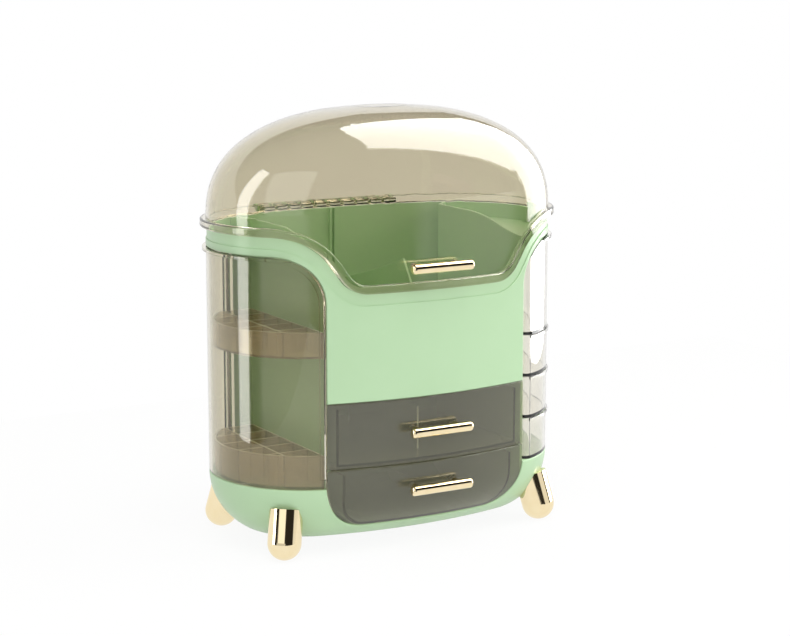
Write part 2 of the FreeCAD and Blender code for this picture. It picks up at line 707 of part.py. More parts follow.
def dome_block(inset):
    """Solid dome over the rim, inset from its outside."""
    last = math.radians(DOME_LAST_ANGLE)
    power = 2 / DOME_POWER
    rise = (DOME_TOP - DOME_BASE - inset) / math.sin(last) ** power
    wires = []
    for step in range(DOME_SECTIONS):
        angle = last * step / (DOME_SECTIONS - 1)
        height = DOME_BASE + rise * math.sin(angle) ** power
        wires.append(oval_wire(-inset, height, math.cos(angle) ** power))
    return Part.makeLoft(wires, True, False)


def lid_dome():
    """Clear dome with a skirt that follows the dip, a flange round its edge and a row of hinge barrels."""
    dome = dome_block(0).cut(dome_block(LID_WALL))
    skirt = oval_ring(0, -LID_WALL, DIP_Z - OVERRUN, DOME_BASE).common(above_dip(0))
    flange = oval_ring(FLANGE_REACH, -LID_WALL / 2, DIP_Z - OVERRUN, RIM_Z + FLANGE_HEIGHT)
    flange = flange.common(above_dip(0)).cut(above_dip(FLANGE_HEIGHT))
    skin = outside_of(oval_block(FLANGE_REACH - FLANGE_ROUND, 0, REACH))
    flange = softened(flange, FLANGE_ROUND, skin)
    barrels = []
    for low, high in hinge_spans()[1]:
        arm = box(low, high, 0, LID_HINGE_Y, RIM_Z, LID_HINGE_Z + LID_BARREL_RADIUS / 2)
        arm = arm.cut(oval_block(0, 0, REACH))
        barrels.append(joined(hinge_rod(LID_BARREL_RADIUS, low, high), arm))
    lid = joined(skirt, dome, flange, *barrels)
    lid = lid.cut(hinge_rod(HINGE_PIN_RADIUS + RUN_FIT, -REACH, REACH))
    return drilled(lid, LID_HANDLE_Z)


# Handles

def post_starts(height):
    """Where a handle's two posts meet its bar."""
    return [Vector(x, -HALF_DEPTH - HANDLE_STAND, height) for x in (-HANDLE_POST_X, HANDLE_POST_X)]


def drilled(front, height):
    """Front wall with the two screw holes of a handle."""
    for start in post_starts(height):
        front = front.cut(rod(HANDLE_SCREW_RADIUS + RUN_FIT, start, INWARD, HALF_DEPTH))
    return front


def handle(height, wall):
    """Round bar on two posts that stand on the wall's outside."""
    bar = rod(
        HANDLE_RADIUS, Vector(-HANDLE_LENGTH / 2, -HALF_DEPTH - HANDLE_STAND, height), ALONG, HANDLE_LENGTH)
    bar = bar.makeFillet(HANDLE_ROUND, [edge for edge in bar.Edges if edge.isClosed()])
    starts = post_starts(height)
    posts = [rod(HANDLE_POST_RADIUS, start, INWARD, HALF_DEPTH / 2).cut(wall) for start in starts]
    whole = joined(bar, *posts)
    for start in starts:
        whole = whole.cut(rod(HANDLE_SCREW_RADIUS + PRESS_FIT, start, INWARD, HALF_DEPTH))
    return whole


def inside_front(x, height, wall):
    """How far forward the inside of a front wall is at a place, also where the bowl curves in."""
    below = max(0, BOWL_TOP - height)
    offset = math.sqrt((BOWL_RADIUS - wall) ** 2 - below ** 2) - BOWL_RADIUS
    return FRONT_CENTER - math.sqrt((FRONT_RADIUS + offset) ** 2 - x ** 2)


def handle_screws(height, wall):
    """Two screws from inside a wall into a handle's posts."""
    screws = []
    for start in post_starts(height):
        rim = abs(start.x) + HANDLE_SCREW_HEAD
        seat = Vector(start.x, inside_front(rim, height - HANDLE_SCREW_HEAD, wall), height)
        length = HANDLE_SCREW_DEPTH + wall
        shank = rod(HANDLE_SCREW_RADIUS, seat - INWARD * length, INWARD, length)
        head = rod(HANDLE_SCREW_HEAD, seat, INWARD, HANDLE_SCREW_HEAD_HEIGHT)
        screws.append(joined(shank, head))
    return Part.makeCompound(screws)


# Door and side trays, modelled on the right end

def lug(low, high):
    """Eye that turns on the rod."""
    return rod(LUG_RADIUS, Vector(PIVOT_X, PIVOT_Y, low), UP, high - low)


def rod_bore():
    """Bore for the pivot rod through a lug."""
    return rod(ROD_RADIUS + RUN_FIT, Vector(PIVOT_X, PIVOT_Y, 0), UP, REACH)


def lip(reach, top):
    """Bead round the outside of a shell's top edge, in front of the pivot."""
    bead = oval_ring(reach, -SIDE_WALL / 2, top - LIP_HEIGHT, top)
    return bead.common(box(PARTITION_X, REACH, -REACH, PIVOT_Y, 0, REACH))


def left_door():
    """Tall clear shell with a round top front corner and a bar along that edge, hung on the left rod."""
    low = BOWL_TOP + SEAM
    high = SHELL_TOP - SEAM
    wall = oval_ring(0, -SIDE_WALL, low, high)
    back = box(PIVOT_X, REACH, 0, PIVOT_Y, low, high)
    shell = wall.common(joined(side_region(-SEAM), back))
    shell = softened(shell, THIN_EDGE_ROUND, outside_of(oval_block(-SIDE_WALL / 2, 0, REACH)))
    bead = lip(TOP_LIP, high).common(joined(side_region(-SEAM), back))
    edge = side_region(-SEAM).cut(side_region(-SEAM - DOOR_BAR_WIDTH))
    edge = edge.common(box(0, PARTITION_X + SIDE_CORNER, -REACH, 0, low + DOOR_BAR_RISE, high))
    bar = oval_ring(-SIDE_WALL / 2, -DOOR_BAR_DEPTH, low, high).common(edge)
    link = box(PIVOT_X, REACH, PIVOT_Y - SIDE_WALL, PIVOT_Y, low, high).common(oval_block(0, 0, REACH))
    door = joined(shell, bead, bar, link, lug(low, high)).cut(rod_bore())
    return mirrored(door)


def side_tray(low, high, reach):
    """Clear tray that fills the right end between two heights and swings out on the rod."""
    back_y = PIVOT_Y + TRAY_BACK_PAST_PIVOT
    plan = box(TRAY_IN, REACH, -REACH, PIVOT_Y, low, high)
    plan = joined(plan, box(TRAY_IN, PIVOT_X, -REACH, back_y, low, high))
    plan = plan.cut(between_partitions(TRAY_IN - PARTITION_IN, 0, REACH))
    outer = rounded_front(plan.common(oval_block(0, 0, REACH)), TRAY_FRONT_ROUND)
    near = TRAY_IN + SIDE_WALL
    floor = low + TRAY_FLOOR_WALL
    hollow = box(near, REACH, -REACH, PIVOT_Y - SIDE_WALL, floor, high + OVERRUN)
    hollow = joined(hollow, box(near, PIVOT_X, -REACH, back_y - SIDE_WALL, floor, high + OVERRUN))
    hollow = hollow.cut(between_partitions(near - PARTITION_IN, 0, REACH))
    hollow = hollow.common(oval_block(-SIDE_WALL, 0, REACH))
    hollow = rounded_front(hollow, TRAY_FRONT_ROUND - SIDE_WALL)
    hollow = hollow.cut(rod(LUG_RADIUS, Vector(PIVOT_X, PIVOT_Y, low), UP, REACH))
    bead = lip(reach, high).cut(box(0, TRAY_IN + TRAY_FRONT_ROUND, -REACH, 0, 0, REACH))
    tray = joined(outer, lug(low, high), bead).cut(hollow)
    tray = softened(tray, THIN_EDGE_ROUND, lambda point: point.z > high - THIN_EDGE_ROUND)
    return tray.cut(rod_bore())


def rounded_front(block, radius):
    """Block with its upright front corner rounded."""
    uprights = [edge for edge in block.Edges if abs(edge.tangentAt(edge.FirstParameter).z) > 1 / 2]
    front = min(uprights, key=lambda edge: edge.CenterOfMass.y)
    return block.makeFillet(radius, [front])


def tall_tray():
    """Top side tray, whose front wall is cut to the round corner."""
    low = BOWL_TOP + len(LOW_TRAYS) * TRAY_HEIGHT + SEAM
    tray = side_tray(low, SHELL_TOP - SEAM, TOP_LIP)
    region = joined(side_region(-SEAM), box(0, REACH, 0, REACH, low, SHELL_TOP))
    return tray.common(region)


# Drawers

def upper_drawer():
    """Clear drawer with a curved front that laps the partitions."""
    low = SHELF_Z + SHELF_WALL + REST_GAP
    high = APRON_Z - SEAM
    half = DRAWER_FRONT_HALF
    front_low = SHELF_Z + SEAM
    front = oval_ring(0, -DRAWER_FRONT_WALL, front_low, high)
    front = front.common(box(-half, half, -REACH, 0, front_low, high))
    front = softened(front, EDGE_ROUND, outside_of(oval_block(-EDGE_ROUND, 0, REACH)))
    half = DRAWER_BOX_HALF
    box_top = high - DRAWER_BOX_BELOW_TOP
    outer = box(-half, half, -REACH, DRAWER_BACK_Y, low, box_top)
    outer = outer.common(oval_block(-DRAWER_FRONT_WALL / 2, 0, REACH))
    half = DRAWER_BOX_HALF - DRAWER_WALL
    hollow = box(-half, half, -REACH, DRAWER_BACK_Y - DRAWER_WALL, low + DRAWER_WALL, high + OVERRUN)
    hollow = hollow.common(oval_block(-DRAWER_FRONT_WALL, 0, REACH))
    return drilled(joined(front, outer).cut(hollow), UPPER_HANDLE_Z)


def upper_drawer_divider():
    """Clear plate down the middle of the upper drawer."""
    low = SHELF_Z + SHELF_WALL + REST_GAP + DRAWER_WALL
    high = APRON_Z - SEAM - DRAWER_BOX_BELOW_TOP - DIVIDER_BELOW_BOX
    half = DIVIDER_WALL / 2
    return box(-half, half, DIVIDER_FROM_FRONT - HALF_DEPTH, DRAWER_BACK_Y - DRAWER_WALL, low, high)


def lower_drawer():
    """Clear drawer whose front follows the bowl, with round bottom corners."""
    high = SHELF_Z - SEAM
    outside = body_block(0, high)
    inside = body_block(DRAWER_FRONT_WALL, high + OVERRUN)
    plate = front_prism(
        tray_outline(DRAWER_FRONT_HALF, DRAWER_SILL, high, LOWER_DRAWER_ROUND), -REACH, -HALF_DEPTH / 2)
    front = outside.common(plate).cut(inside)
    front = softened(front, EDGE_ROUND, outside_of(body_block(EDGE_ROUND, high + OVERRUN)))
    corner = LOWER_DRAWER_ROUND - DRAWER_FRONT_HALF + LOWER_BOX_HALF
    outline = tray_outline(LOWER_BOX_HALF, LOWER_BOX_Z, high - DRAWER_BOX_BELOW_TOP, corner)
    outer = front_prism(outline, -REACH, DRAWER_BACK_Y).common(body_block(DRAWER_FRONT_WALL / 2, high))
    outline = tray_outline(
        LOWER_BOX_HALF - DRAWER_WALL, LOWER_BOX_Z + DRAWER_WALL, high + OVERRUN, corner - DRAWER_WALL)
    hollow = front_prism(outline, -REACH, DRAWER_BACK_Y - DRAWER_WALL).common(inside)
    return drilled(joined(front, outer).cut(hollow), LOWER_HANDLE_Z)


# All pieces

def build():
    """Every piece by its node's name."""
    shell = oval_block(0, 0, REACH)
    lower_shell = body_block(0, SHELF_Z)
    pieces = {name: foot(sides) for name, sides in FOOT_SIDES.items()}
    pieces["base_bowl"] = base_bowl()
    pieces["foot_screws"] = foot_screws()
    pieces["left_partition"] = left_partition()
    pieces["right_partition"] = partition()
    pieces["back_panel"] = back_panel()
    pieces["drawer_shelf"] = drawer_shelf()
    pieces["bin_floor"] = bin_floor()
    pieces["upper_collar"] = upper_collar()
    pieces["bin_divider"] = bin_divider()
    pieces["upper_lipstick_rack"] = lipstick_rack(UPPER_RACK_Z, UPPER_RACK_HEIGHT)
    pieces["lower_lipstick_rack"] = lipstick_rack(BOWL_TOP, LOWER_RACK_HEIGHT)
    pieces["door_rod"] = pivot_rod(-1)
    pieces["tray_rod"] = pivot_rod(1)
    pieces["lid_hinge_pin"] = lid_hinge_pin()
    pieces["lid_dome"] = lid_dome()
    pieces["lid_handle"] = handle(LID_HANDLE_Z, shell)
    pieces["lid_handle_screws"] = handle_screws(LID_HANDLE_Z, LID_WALL)
    pieces["left_door"] = left_door()
    for number, name in enumerate(LOW_TRAYS):
        low = BOWL_TOP + number * TRAY_HEIGHT
        pieces[name] = side_tray(low + SEAM, low + TRAY_HEIGHT, SIDE_LIP)
    pieces["side_tray_tall"] = tall_tray()
    pieces["upper_drawer"] = upper_drawer()
    pieces["upper_drawer_divider"] = upper_drawer_divider()
    pieces["upper_drawer_handle"] = handle(UPPER_HANDLE_Z, shell)
    pieces["upper_drawer_screws"] = handle_screws(UPPER_HANDLE_Z, DRAWER_FRONT_WALL)
    pieces["lower_drawer"] = lower_drawer()
    pieces["lower_drawer_handle"] = handle(LOWER_HANDLE_Z, lower_shell)
    pieces["lower_drawer_screws"] = handle_screws(LOWER_HANDLE_Z, DRAWER_FRONT_WALL)
    return pieces


os.makedirs("parts", exist_ok=True)
for node, shape in build().items():
    print(node, len(shape.Solids), shape.isValid(), round(shape.Volume), shape.BoundBox)
    shape.exportStep("parts/" + node + ".step")
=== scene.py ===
import json
import logging
import math
from dataclasses import dataclass, replace
from enum import Enum
from typing import Any, Optional, Union

import bmesh
import bpy
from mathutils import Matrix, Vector

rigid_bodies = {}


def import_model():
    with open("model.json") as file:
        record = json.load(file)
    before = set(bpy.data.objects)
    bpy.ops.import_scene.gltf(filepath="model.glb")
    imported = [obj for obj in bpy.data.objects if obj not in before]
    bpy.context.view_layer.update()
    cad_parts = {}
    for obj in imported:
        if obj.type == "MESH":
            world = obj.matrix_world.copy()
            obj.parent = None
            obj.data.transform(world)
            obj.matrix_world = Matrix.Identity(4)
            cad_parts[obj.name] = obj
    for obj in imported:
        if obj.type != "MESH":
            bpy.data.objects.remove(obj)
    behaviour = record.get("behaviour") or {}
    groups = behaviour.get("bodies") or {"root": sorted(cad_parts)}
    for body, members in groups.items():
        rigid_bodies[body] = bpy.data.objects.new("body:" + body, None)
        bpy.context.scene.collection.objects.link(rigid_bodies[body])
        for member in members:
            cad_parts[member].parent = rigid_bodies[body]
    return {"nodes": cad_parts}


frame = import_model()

log = logging.getLogger("organizer")
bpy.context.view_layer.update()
STARTUP_OBJECTS = ("Cube", "Light", "Camera")
MM = 0.001
WHITE = "#ffffff"

# The sRGB curve: straight up to the knee, a power above it.
SRGB_FULL = 255
SRGB_KNEE = 0.04045
SRGB_STRAIGHT = 12.92
SRGB_LIFT = 0.055
SRGB_POWER = 2.4

# Sockets of a colour Mix node, which share their names with its other sockets.
MIX_SHARE = 0
MIX_FIRST = 6
MIX_SECOND = 7
MIX_COLOUR = 2

# Between no mirror and one on a light path.
MIRROR_MET = 0.5

Key = Union[str, int]
Point = tuple[float, float, float]
Socket = bpy.types.NodeSocket
Tree = bpy.types.NodeTree


class Slot(Enum):
    """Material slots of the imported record."""

    GREEN = "green_plastic"
    GOLD = "gold_metal"
    STEEL = "steel"
    LID = "lid_clear"
    SHELL = "shell_clear"
    TRAY = "tray_clear"
    RACK = "rack_clear"
    DRAWER = "drawer_smoke"


def linear(colour: str) -> tuple[float, float, float, float]:
    """Turn an sRGB hex colour to the linear values that shaders take.

    Args:
        colour: Six hex digits with a leading hash.

    Returns:
        Linear red, green and blue, and a full fourth value.
    """
    parts = [int(colour[start:start + 2], 16) / SRGB_FULL for start in (1, 3, 5)]
    red, green, blue = (
        part / SRGB_STRAIGHT if part <= SRGB_KNEE else ((part + SRGB_LIFT) / (1 + SRGB_LIFT)) ** SRGB_POWER
        for part in parts)
    return red, green, blue, 1.0


def per_metre(size_mm: float) -> float:
    """Texture scale at which one feature of a pattern is about this many millimetres."""
    return 1 / (size_mm * MM)


def add_node(tree: Tree, kind: str, settings: Optional[dict[Key, Any]] = None,
             links: Optional[dict[Key, Socket]] = None) -> bpy.types.Node:
    """Add one node with its settings and links.

    Args:
        tree: Node tree that takes the node.
        kind: Blender's name of the node type.
        settings: Values by input name or number, or by the node's own property name.
        links: Output sockets by input name or number.

    Returns:
        The new node.
    """
    node = tree.nodes.new(kind)
    for key, value in (settings or {}).items():
        if isinstance(key, str) and hasattr(node, key):
            setattr(node, key, value)
        else:
            node.inputs[key].default_value = value
    for key, socket in (links or {}).items():
        tree.links.new(socket, node.inputs[key])
    return node


def new_material(name: str) -> tuple[bpy.types.Material, Tree]:
    """Make an empty node material.

    Args:
        name: Name of the material.

    Returns:
        The material and its empty node tree.
    """
    made = bpy.data.materials.new(name)
    made.use_nodes = True
    made.node_tree.nodes.clear()
    return made, made.node_tree


def mottled(tree: Tree, place: Socket, size_mm: float, detail: float,
            colours: tuple[str, str]) -> tuple[Socket, Socket]:
    """Blend two near colours in soft clouds.

    Args:
        tree: Node tree of the material.
        place: Coordinates on the piece.
        size_mm: Size of a cloud.
        detail: Steps of finer clouds in it.
        colours: The two hex colours.

    Returns:
        Sockets of the blended colour and of the clouds themselves.
    """
    clouds = add_node(tree, "ShaderNodeTexNoise", {"Scale": per_metre(size_mm), "Detail": detail},
                      {"Vector": place})
    tint = add_node(tree, "ShaderNodeMix",
                    {"data_type": "RGBA", MIX_FIRST: linear(colours[0]), MIX_SECOND: linear(colours[1])},
                    {MIX_SHARE: clouds.outputs["Fac"]})
    return tint.outputs[MIX_COLOUR], clouds.outputs["Fac"]


@dataclass(frozen=True)
class MouldedPlastic:
    """Opaque plastic from a fine satin mould: a soft sheen with faint clouds and a grain.

    A real mould's grain is finer than this one, which is as coarse as it needs to show.
    """

    name: str
    colour: str
    cloud: str
    roughness: float
    smoother: float = 0.04
    rougher: float = 0.05
    ior: float = 1.53
    coat: float = 0.12
    coat_roughness: float = 0.12
    cloud_mm: float = 28.0
    cloud_detail: float = 3.0
    grain_mm: float = 0.9
    grain_detail: float = 2.0
    grain_depth_mm: float = 0.006
    grain_strength: float = 0.35

    def material(self) -> bpy.types.Material:
        """Build the material.

        Returns:
            The finished material.
        """
        made, tree = new_material(self.name)
        place = add_node(tree, "ShaderNodeTexCoord").outputs["Object"]
        tint, _ = mottled(tree, place, self.cloud_mm, self.cloud_detail, (self.colour, self.cloud))
        grain = add_node(tree, "ShaderNodeTexNoise",
                         {"Scale": per_metre(self.grain_mm), "Detail": self.grain_detail}, {"Vector": place})
        gloss = add_node(tree, "ShaderNodeMapRange",
                         {"To Min": self.roughness - self.smoother, "To Max": self.roughness + self.rougher},
                         {"Value": grain.outputs["Fac"]})
        bump = add_node(tree, "ShaderNodeBump",
                        {"Strength": self.grain_strength, "Distance": self.grain_depth_mm * MM},
                        {"Height": grain.outputs["Fac"]})
        skin = add_node(tree, "ShaderNodeBsdfPrincipled",
                        {"IOR": self.ior, "Coat Weight": self.coat, "Coat Roughness": self.coat_roughness},
                        {"Base Color": tint, "Roughness": gloss.outputs["Result"],
                         "Normal": bump.outputs["Normal"]})
        add_node(tree, "ShaderNodeOutputMaterial", links={"Surface": skin.outputs["BSDF"]})
        return made


class EdgeOn(Enum):
    """Direction, in the shared frame, that the bright edges of a clear piece face: a painted highlight, made
    by turning these edges milky.
    """

    NONE = ""
    FRONT = "Y"
    TOP = "Z"


@dataclass(frozen=True)
class ClearPlastic:
    """Clear moulded plastic with a light tint: glossy, with a slow wave in its skin from the mould.

    Edges that face one way, above a height, can be made milkier: a painted highlight that makes them show as
    bright lines.
    """

    name: str
    tint: str
    flow: str
    shadow: str
    roughness: float
    haze: float = 0.0
    edges: EdgeOn = EdgeOn.NONE
    edge_from_mm: float = 0.0
    highlight_edge_haze: float = 0.92
    edge_starts: float = 0.8
    edge_full: float = 0.95
    ior: float = 1.49
    flow_mm: float = 60.0
    flow_detail: float = 2.0
    wave_mm: float = 45.0
    wave_depth_mm: float = 0.02
    wave_strength: float = 0.5

    def highlight_clearness(self, tree: Tree, place: bpy.types.Node) -> Socket:
        """Tell the milky edges, painted as highlights, from clear walls.

        Args:
            tree: Node tree of the material.
            place: Its texture coordinate node.

        Returns:
            Socket with the share of light let through.
        """
        # Painted highlight: faces turned this way, above the given height, let less light through and turn
        # milky, so they show as bright lines.
        facing = add_node(tree, "ShaderNodeSeparateXYZ", links={0: place.outputs["Normal"]})
        size = add_node(tree, "ShaderNodeMath", {"operation": "ABSOLUTE"},
                        {0: facing.outputs[self.edges.value]})
        where = add_node(tree, "ShaderNodeSeparateXYZ", links={0: place.outputs["Object"]})
        high = add_node(tree, "ShaderNodeMath", {"operation": "GREATER_THAN", 1: self.edge_from_mm * MM},
                        {0: where.outputs["Z"]})
        both = add_node(tree, "ShaderNodeMath", {"operation": "MULTIPLY"},
                        {0: size.outputs[0], 1: high.outputs[0]})
        share = add_node(tree, "ShaderNodeMapRange",
                         {"From Min": self.edge_starts, "From Max": self.edge_full,
                          "To Min": 1 - self.haze, "To Max": 1 - self.highlight_edge_haze},
                         {"Value": both.outputs[0]})
        return share.outputs["Result"]

    def material(self) -> bpy.types.Material:
        """Build the material.

        Returns:
            The finished material, which lets lamps reach what is behind it.
        """
        made, tree = new_material(self.name)
        place = add_node(tree, "ShaderNodeTexCoord")
        spot = place.outputs["Object"]
        tint, _ = mottled(tree, spot, self.flow_mm, self.flow_detail, (self.tint, self.flow))
        wave = add_node(tree, "ShaderNodeTexNoise", {"Scale": per_metre(self.wave_mm), "Detail": 0.0},
                        {"Vector": spot})
        bump = add_node(tree, "ShaderNodeBump",
                        {"Strength": self.wave_strength, "Distance": self.wave_depth_mm * MM},
                        {"Height": wave.outputs["Fac"]})
        links = {"Base Color": tint, "Normal": bump.outputs["Normal"]}
        # Painted highlight on the chosen edges: their share of light let through drops.
        if self.edges is not EdgeOn.NONE:
            links["Transmission Weight"] = self.highlight_clearness(tree, place)
        skin = add_node(tree, "ShaderNodeBsdfPrincipled",
                        {"IOR": self.ior, "Transmission Weight": 1 - self.haze, "Roughness": self.roughness},
                        links)
        through = add_node(tree, "ShaderNodeBsdfTransparent", {"Color": linear(self.shadow)})
        path = add_node(tree, "ShaderNodeLightPath")
        both = add_node(tree, "ShaderNodeMixShader", links={
            0: path.outputs["Is Shadow Ray"], 1: skin.outputs["BSDF"], 2: through.outputs["BSDF"]})
        add_node(tree, "ShaderNodeOutputMaterial", links={"Surface": both.outputs["Shader"]})
        return made


@dataclass(frozen=True)
class BrightMetal:
    """Plated or drawn metal: a mirror, sharper the smoother it is, with faint handling marks."""

    name: str
    colour: str
    worn: str
    roughness: float
    smoother: float = 0.03
    rougher: float = 0.05
    mark_mm: float = 9.0
    mark_detail: float = 6.0

    def material(self) -> bpy.types.Material:
        """Build the material.

        Returns:
            The finished material.
        """
        made, tree = new_material(self.name)
        place = add_node(tree, "ShaderNodeTexCoord").outputs["Object"]
        tint, marks = mottled(tree, place, self.mark_mm, self.mark_detail, (self.colour, self.worn))
        gloss = add_node(tree, "ShaderNodeMapRange",
                         {"To Min": self.roughness - self.smoother, "To Max": self.roughness + self.rougher},
                         {"Value": marks})
        skin = add_node(tree, "ShaderNodeBsdfPrincipled", {"Metallic": 1.0},
                        {"Base Color": tint, "Roughness": gloss.outputs["Result"]})
        add_node(tree, "ShaderNodeOutputMaterial", links={"Surface": skin.outputs["BSDF"]})
        return made


Finish = Union[MouldedPlastic, ClearPlastic, BrightMetal]

# ABS, injection moulded in a fine satin mould: a soft pale green that keeps a broad, dim sheen.
GREEN_ABS = MouldedPlastic("Green satin ABS", "#b7d6ae", "#b2d3a8", 0.36)
# Zinc casting, polished and plated in pale gold: mirror bright, warm in the middle of a reflection.
GOLD_PLATE = BrightMetal("Pale gold plated zinc", "#f7e8c4", "#f2deb2", 0.07)
# Steel drawn to rods and screws, bright but not polished: a blurred grey mirror.
BRIGHT_STEEL = BrightMetal("Bright drawn steel", "#c9cac8", "#bcbdbb", 0.28)
# PET in a polished mould, tinted tea brown: see-through, with hard white reflections.
TEA_LID = ClearPlastic("Tea tinted clear PET", "#e5dfd0", "#e2dccc", "#f8f7f2", 0.01)
# The same plastic in the door, where its shadow is a shade darker.
TEA_SHELL = ClearPlastic("Pale tea clear PET", "#e3decf", "#dfdac9", "#f2efe6", 0.01)
# Nearly colourless PET of the swing trays: only edges and seams show.
CLEAR_TRAY = ClearPlastic("Clear PET", "#f6f4ee", "#f3f1ea", "#faf9f6", 0.01)
# Styrene in thin cells: warm and slightly milky, with a painted highlight along the top of each rack, where
# top-facing edges are made milkier so that they glow.
LOWER_RACK = ClearPlastic("Warm clear styrene low", "#f9f3e4", "#f6eeda", "#faf8f2", 0.02, haze=0.22,
                          edges=EdgeOn.TOP, edge_from_mm=80.0)
UPPER_RACK = replace(LOWER_RACK, name="Warm clear styrene high", edge_from_mm=176.0)
# Smoke grey PET of the drawers: the haze keeps their inside dim and even.
SMOKE_DRAWER = ClearPlastic("Smoke clear PET", "#d8d7c2", "#d2d1ba", "#f1f0e6", 0.02, haze=0.085)
# A cut strip of smoke PET: its front and back edges are made milkier, a painted highlight that stands out as
# a pale line.
SMOKE_DIVIDER = ClearPlastic("Smoke clear PET strip", "#d9d7ca", "#d4d2c4", "#eeece4", 0.02, haze=0.1,
                             edges=EdgeOn.FRONT)


class Wardrobe:
    """Keeps one built material for each finish."""

    def __init__(self) -> None:
        """Start with nothing built."""
        self._built: dict[Finish, bpy.types.Material] = {}

    def dress(self, node: str, slot: Slot, finish: Finish) -> None:
        """Give a CAD node its finish.

        Args:
            node: Name of the CAD node.
            slot: Material slot of the node in the record; not used.
            finish: Finish that it takes.
        """
        if finish not in self._built:
            self._built[finish] = finish.material()
        piece = frame["nodes"][node]
        if not piece.material_slots:
            piece.data.materials.append(None)
        for place in piece.material_slots:
            place.link = "OBJECT"
            place.material = self._built[finish]
        log.info("%s takes %s", node, finish.name)


@dataclass
class Base:
    """Green bowl on four gold feet, with the screws that hold them."""

    feet: tuple[str, ...] = ("foot_front_left", "foot_front_right", "foot_back_left", "foot_back_right")

    def dress(self, wardrobe: Wardrobe) -> None:
        """Finish the bowl, feet and screws.

        Args:
            wardrobe: Keeper of the finishes.
        """
        wardrobe.dress("base_bowl", Slot.GREEN, GREEN_ABS)
        wardrobe.dress("foot_screws", Slot.STEEL, BRIGHT_STEEL)
        for foot in self.feet:
            wardrobe.dress(foot, Slot.GOLD, GOLD_PLATE)


@dataclass
class Carcass:
    """Green walls between the bowl and the lid, with the two lipstick racks and the pivot rods."""

    walls: tuple[str, ...] = ("left_partition", "right_partition", "back_panel", "bin_floor", "upper_collar",
                              "bin_divider")
    rods: tuple[str, ...] = ("door_rod", "tray_rod", "lid_hinge_pin")

    def dress(self, wardrobe: Wardrobe) -> None:
        """Finish the walls, racks and rods.

        Args:
            wardrobe: Keeper of the finishes.
        """
        for wall in self.walls:
            wardrobe.dress(wall, Slot.GREEN, GREEN_ABS)
        wardrobe.dress("upper_lipstick_rack", Slot.RACK, UPPER_RACK)
        wardrobe.dress("lower_lipstick_rack", Slot.RACK, LOWER_RACK)
        for rod in self.rods:
            wardrobe.dress(rod, Slot.STEEL, BRIGHT_STEEL)


@dataclass
class Lid:
    """Clear dome with its gold handle."""

    dome: str = "lid_dome"
    handle: str = "lid_handle"

    def dress(self, wardrobe: Wardrobe) -> None:
        """Finish the dome, handle and screws.

        Args:
            wardrobe: Keeper of the finishes.
        """
        wardrobe.dress(self.dome, Slot.LID, TEA_LID)
        wardrobe.dress(self.handle, Slot.GOLD, GOLD_PLATE)
        wardrobe.dress(self.handle + "_screws", Slot.STEEL, BRIGHT_STEEL)


@dataclass
class Ends:
    """Clear door on the left end and four clear swing trays on the right end."""

    trays: tuple[str, ...] = ("side_tray_low", "side_tray_second", "side_tray_third", "side_tray_tall")

    def dress(self, wardrobe: Wardrobe) -> None:
        """Finish the door and the trays.

        Args:
            wardrobe: Keeper of the finishes.
        """
        wardrobe.dress("left_door", Slot.SHELL, TEA_SHELL)
        for tray in self.trays:
            wardrobe.dress(tray, Slot.TRAY, CLEAR_TRAY)


@dataclass
class Drawers:
    """Two smoke clear drawers with gold handles, and the plate between them."""

    names: tuple[str, ...] = ("upper_drawer", "lower_drawer")

    def dress(self, wardrobe: Wardrobe) -> None:
        """Finish the drawers, their handles and screws, the divider and the plate.

        Args:
            wardrobe: Keeper of the finishes.
        """
        for name in self.names:
            wardrobe.dress(name, Slot.DRAWER, SMOKE_DRAWER)
            wardrobe.dress(name + "_handle", Slot.GOLD, GOLD_PLATE)
            wardrobe.dress(name + "_screws", Slot.STEEL, BRIGHT_STEEL)
        wardrobe.dress("upper_drawer_divider", Slot.DRAWER, SMOKE_DIVIDER)
        wardrobe.dress("drawer_shelf", Slot.DRAWER, SMOKE_DRAWER)


def seen_directly(tree: Tree) -> Socket:
    """Tell light paths of the eye, a mirror or a clear wall from those that only bring light.

    Args:
        tree: Node tree of the floor or the world.

    Returns:
        Socket that is one where the eye looks, and zero elsewhere.
    """
    path = add_node(tree, "ShaderNodeLightPath")
    outer = add_node(tree, "ShaderNodeMath", {"operation": "ADD"},
                     {0: path.outputs["Is Camera Ray"], 1: path.outputs["Is Glossy Ray"]})
    every = add_node(tree, "ShaderNodeMath", {"operation": "ADD", "use_clamp": True},
                     {0: outer.outputs[0], 1: path.outputs["Is Transmission Ray"]})
    return every.outputs[0]


def only_mirrored(tree: Tree, surface: Socket) -> Socket:
    """Let light paths that met no mirror or inner reflection pass through a studio cloth.

    Args:
        tree: Node tree of the cloth's material.
        surface: The cloth's own shader.

    Returns:
        Socket of the shader to use in its place.
    """
    path = add_node(tree, "ShaderNodeLightPath")
    met = add_node(tree, "ShaderNodeMath", {"operation": "GREATER_THAN", 1: MIRROR_MET},
                   {0: path.outputs["Glossy Depth"]})
    clear = add_node(tree, "ShaderNodeBsdfTransparent")
    both = add_node(tree, "ShaderNodeMixShader",
                    links={0: met.outputs[0], 1: clear.outputs["BSDF"], 2: surface})
    return both.outputs["Shader"]


def flat_sheet(size: tuple[float, float]) -> bmesh.types.BMesh:
    """Make one flat rectangle about the origin.

    Args:
        size: Its length along X and along Y.

    Returns:
        The rectangle.
    """
    shape = bmesh.new()
    bmesh.ops.create_grid(shape, x_segments=1, y_segments=1, size=1 / 2)
    bmesh.ops.scale(shape, vec=(*size, 1.0), verts=shape.verts)
    return shape


def stand(shape: bmesh.types.BMesh, name: str, cloth: bpy.types.Material) -> bpy.types.Object:
    """Put a studio mesh in the scene.

    Args:
        shape: Its shape, which is freed.
        name: Name of the piece.
        cloth: Its material.

    Returns:
        The new object.
    """
    mesh = bpy.data.meshes.new(name)
    shape.to_mesh(mesh)
    shape.free()
    mesh.materials.append(cloth)
    piece = bpy.data.objects.new(name, mesh)
    bpy.context.scene.collection.objects.link(piece)
    return piece


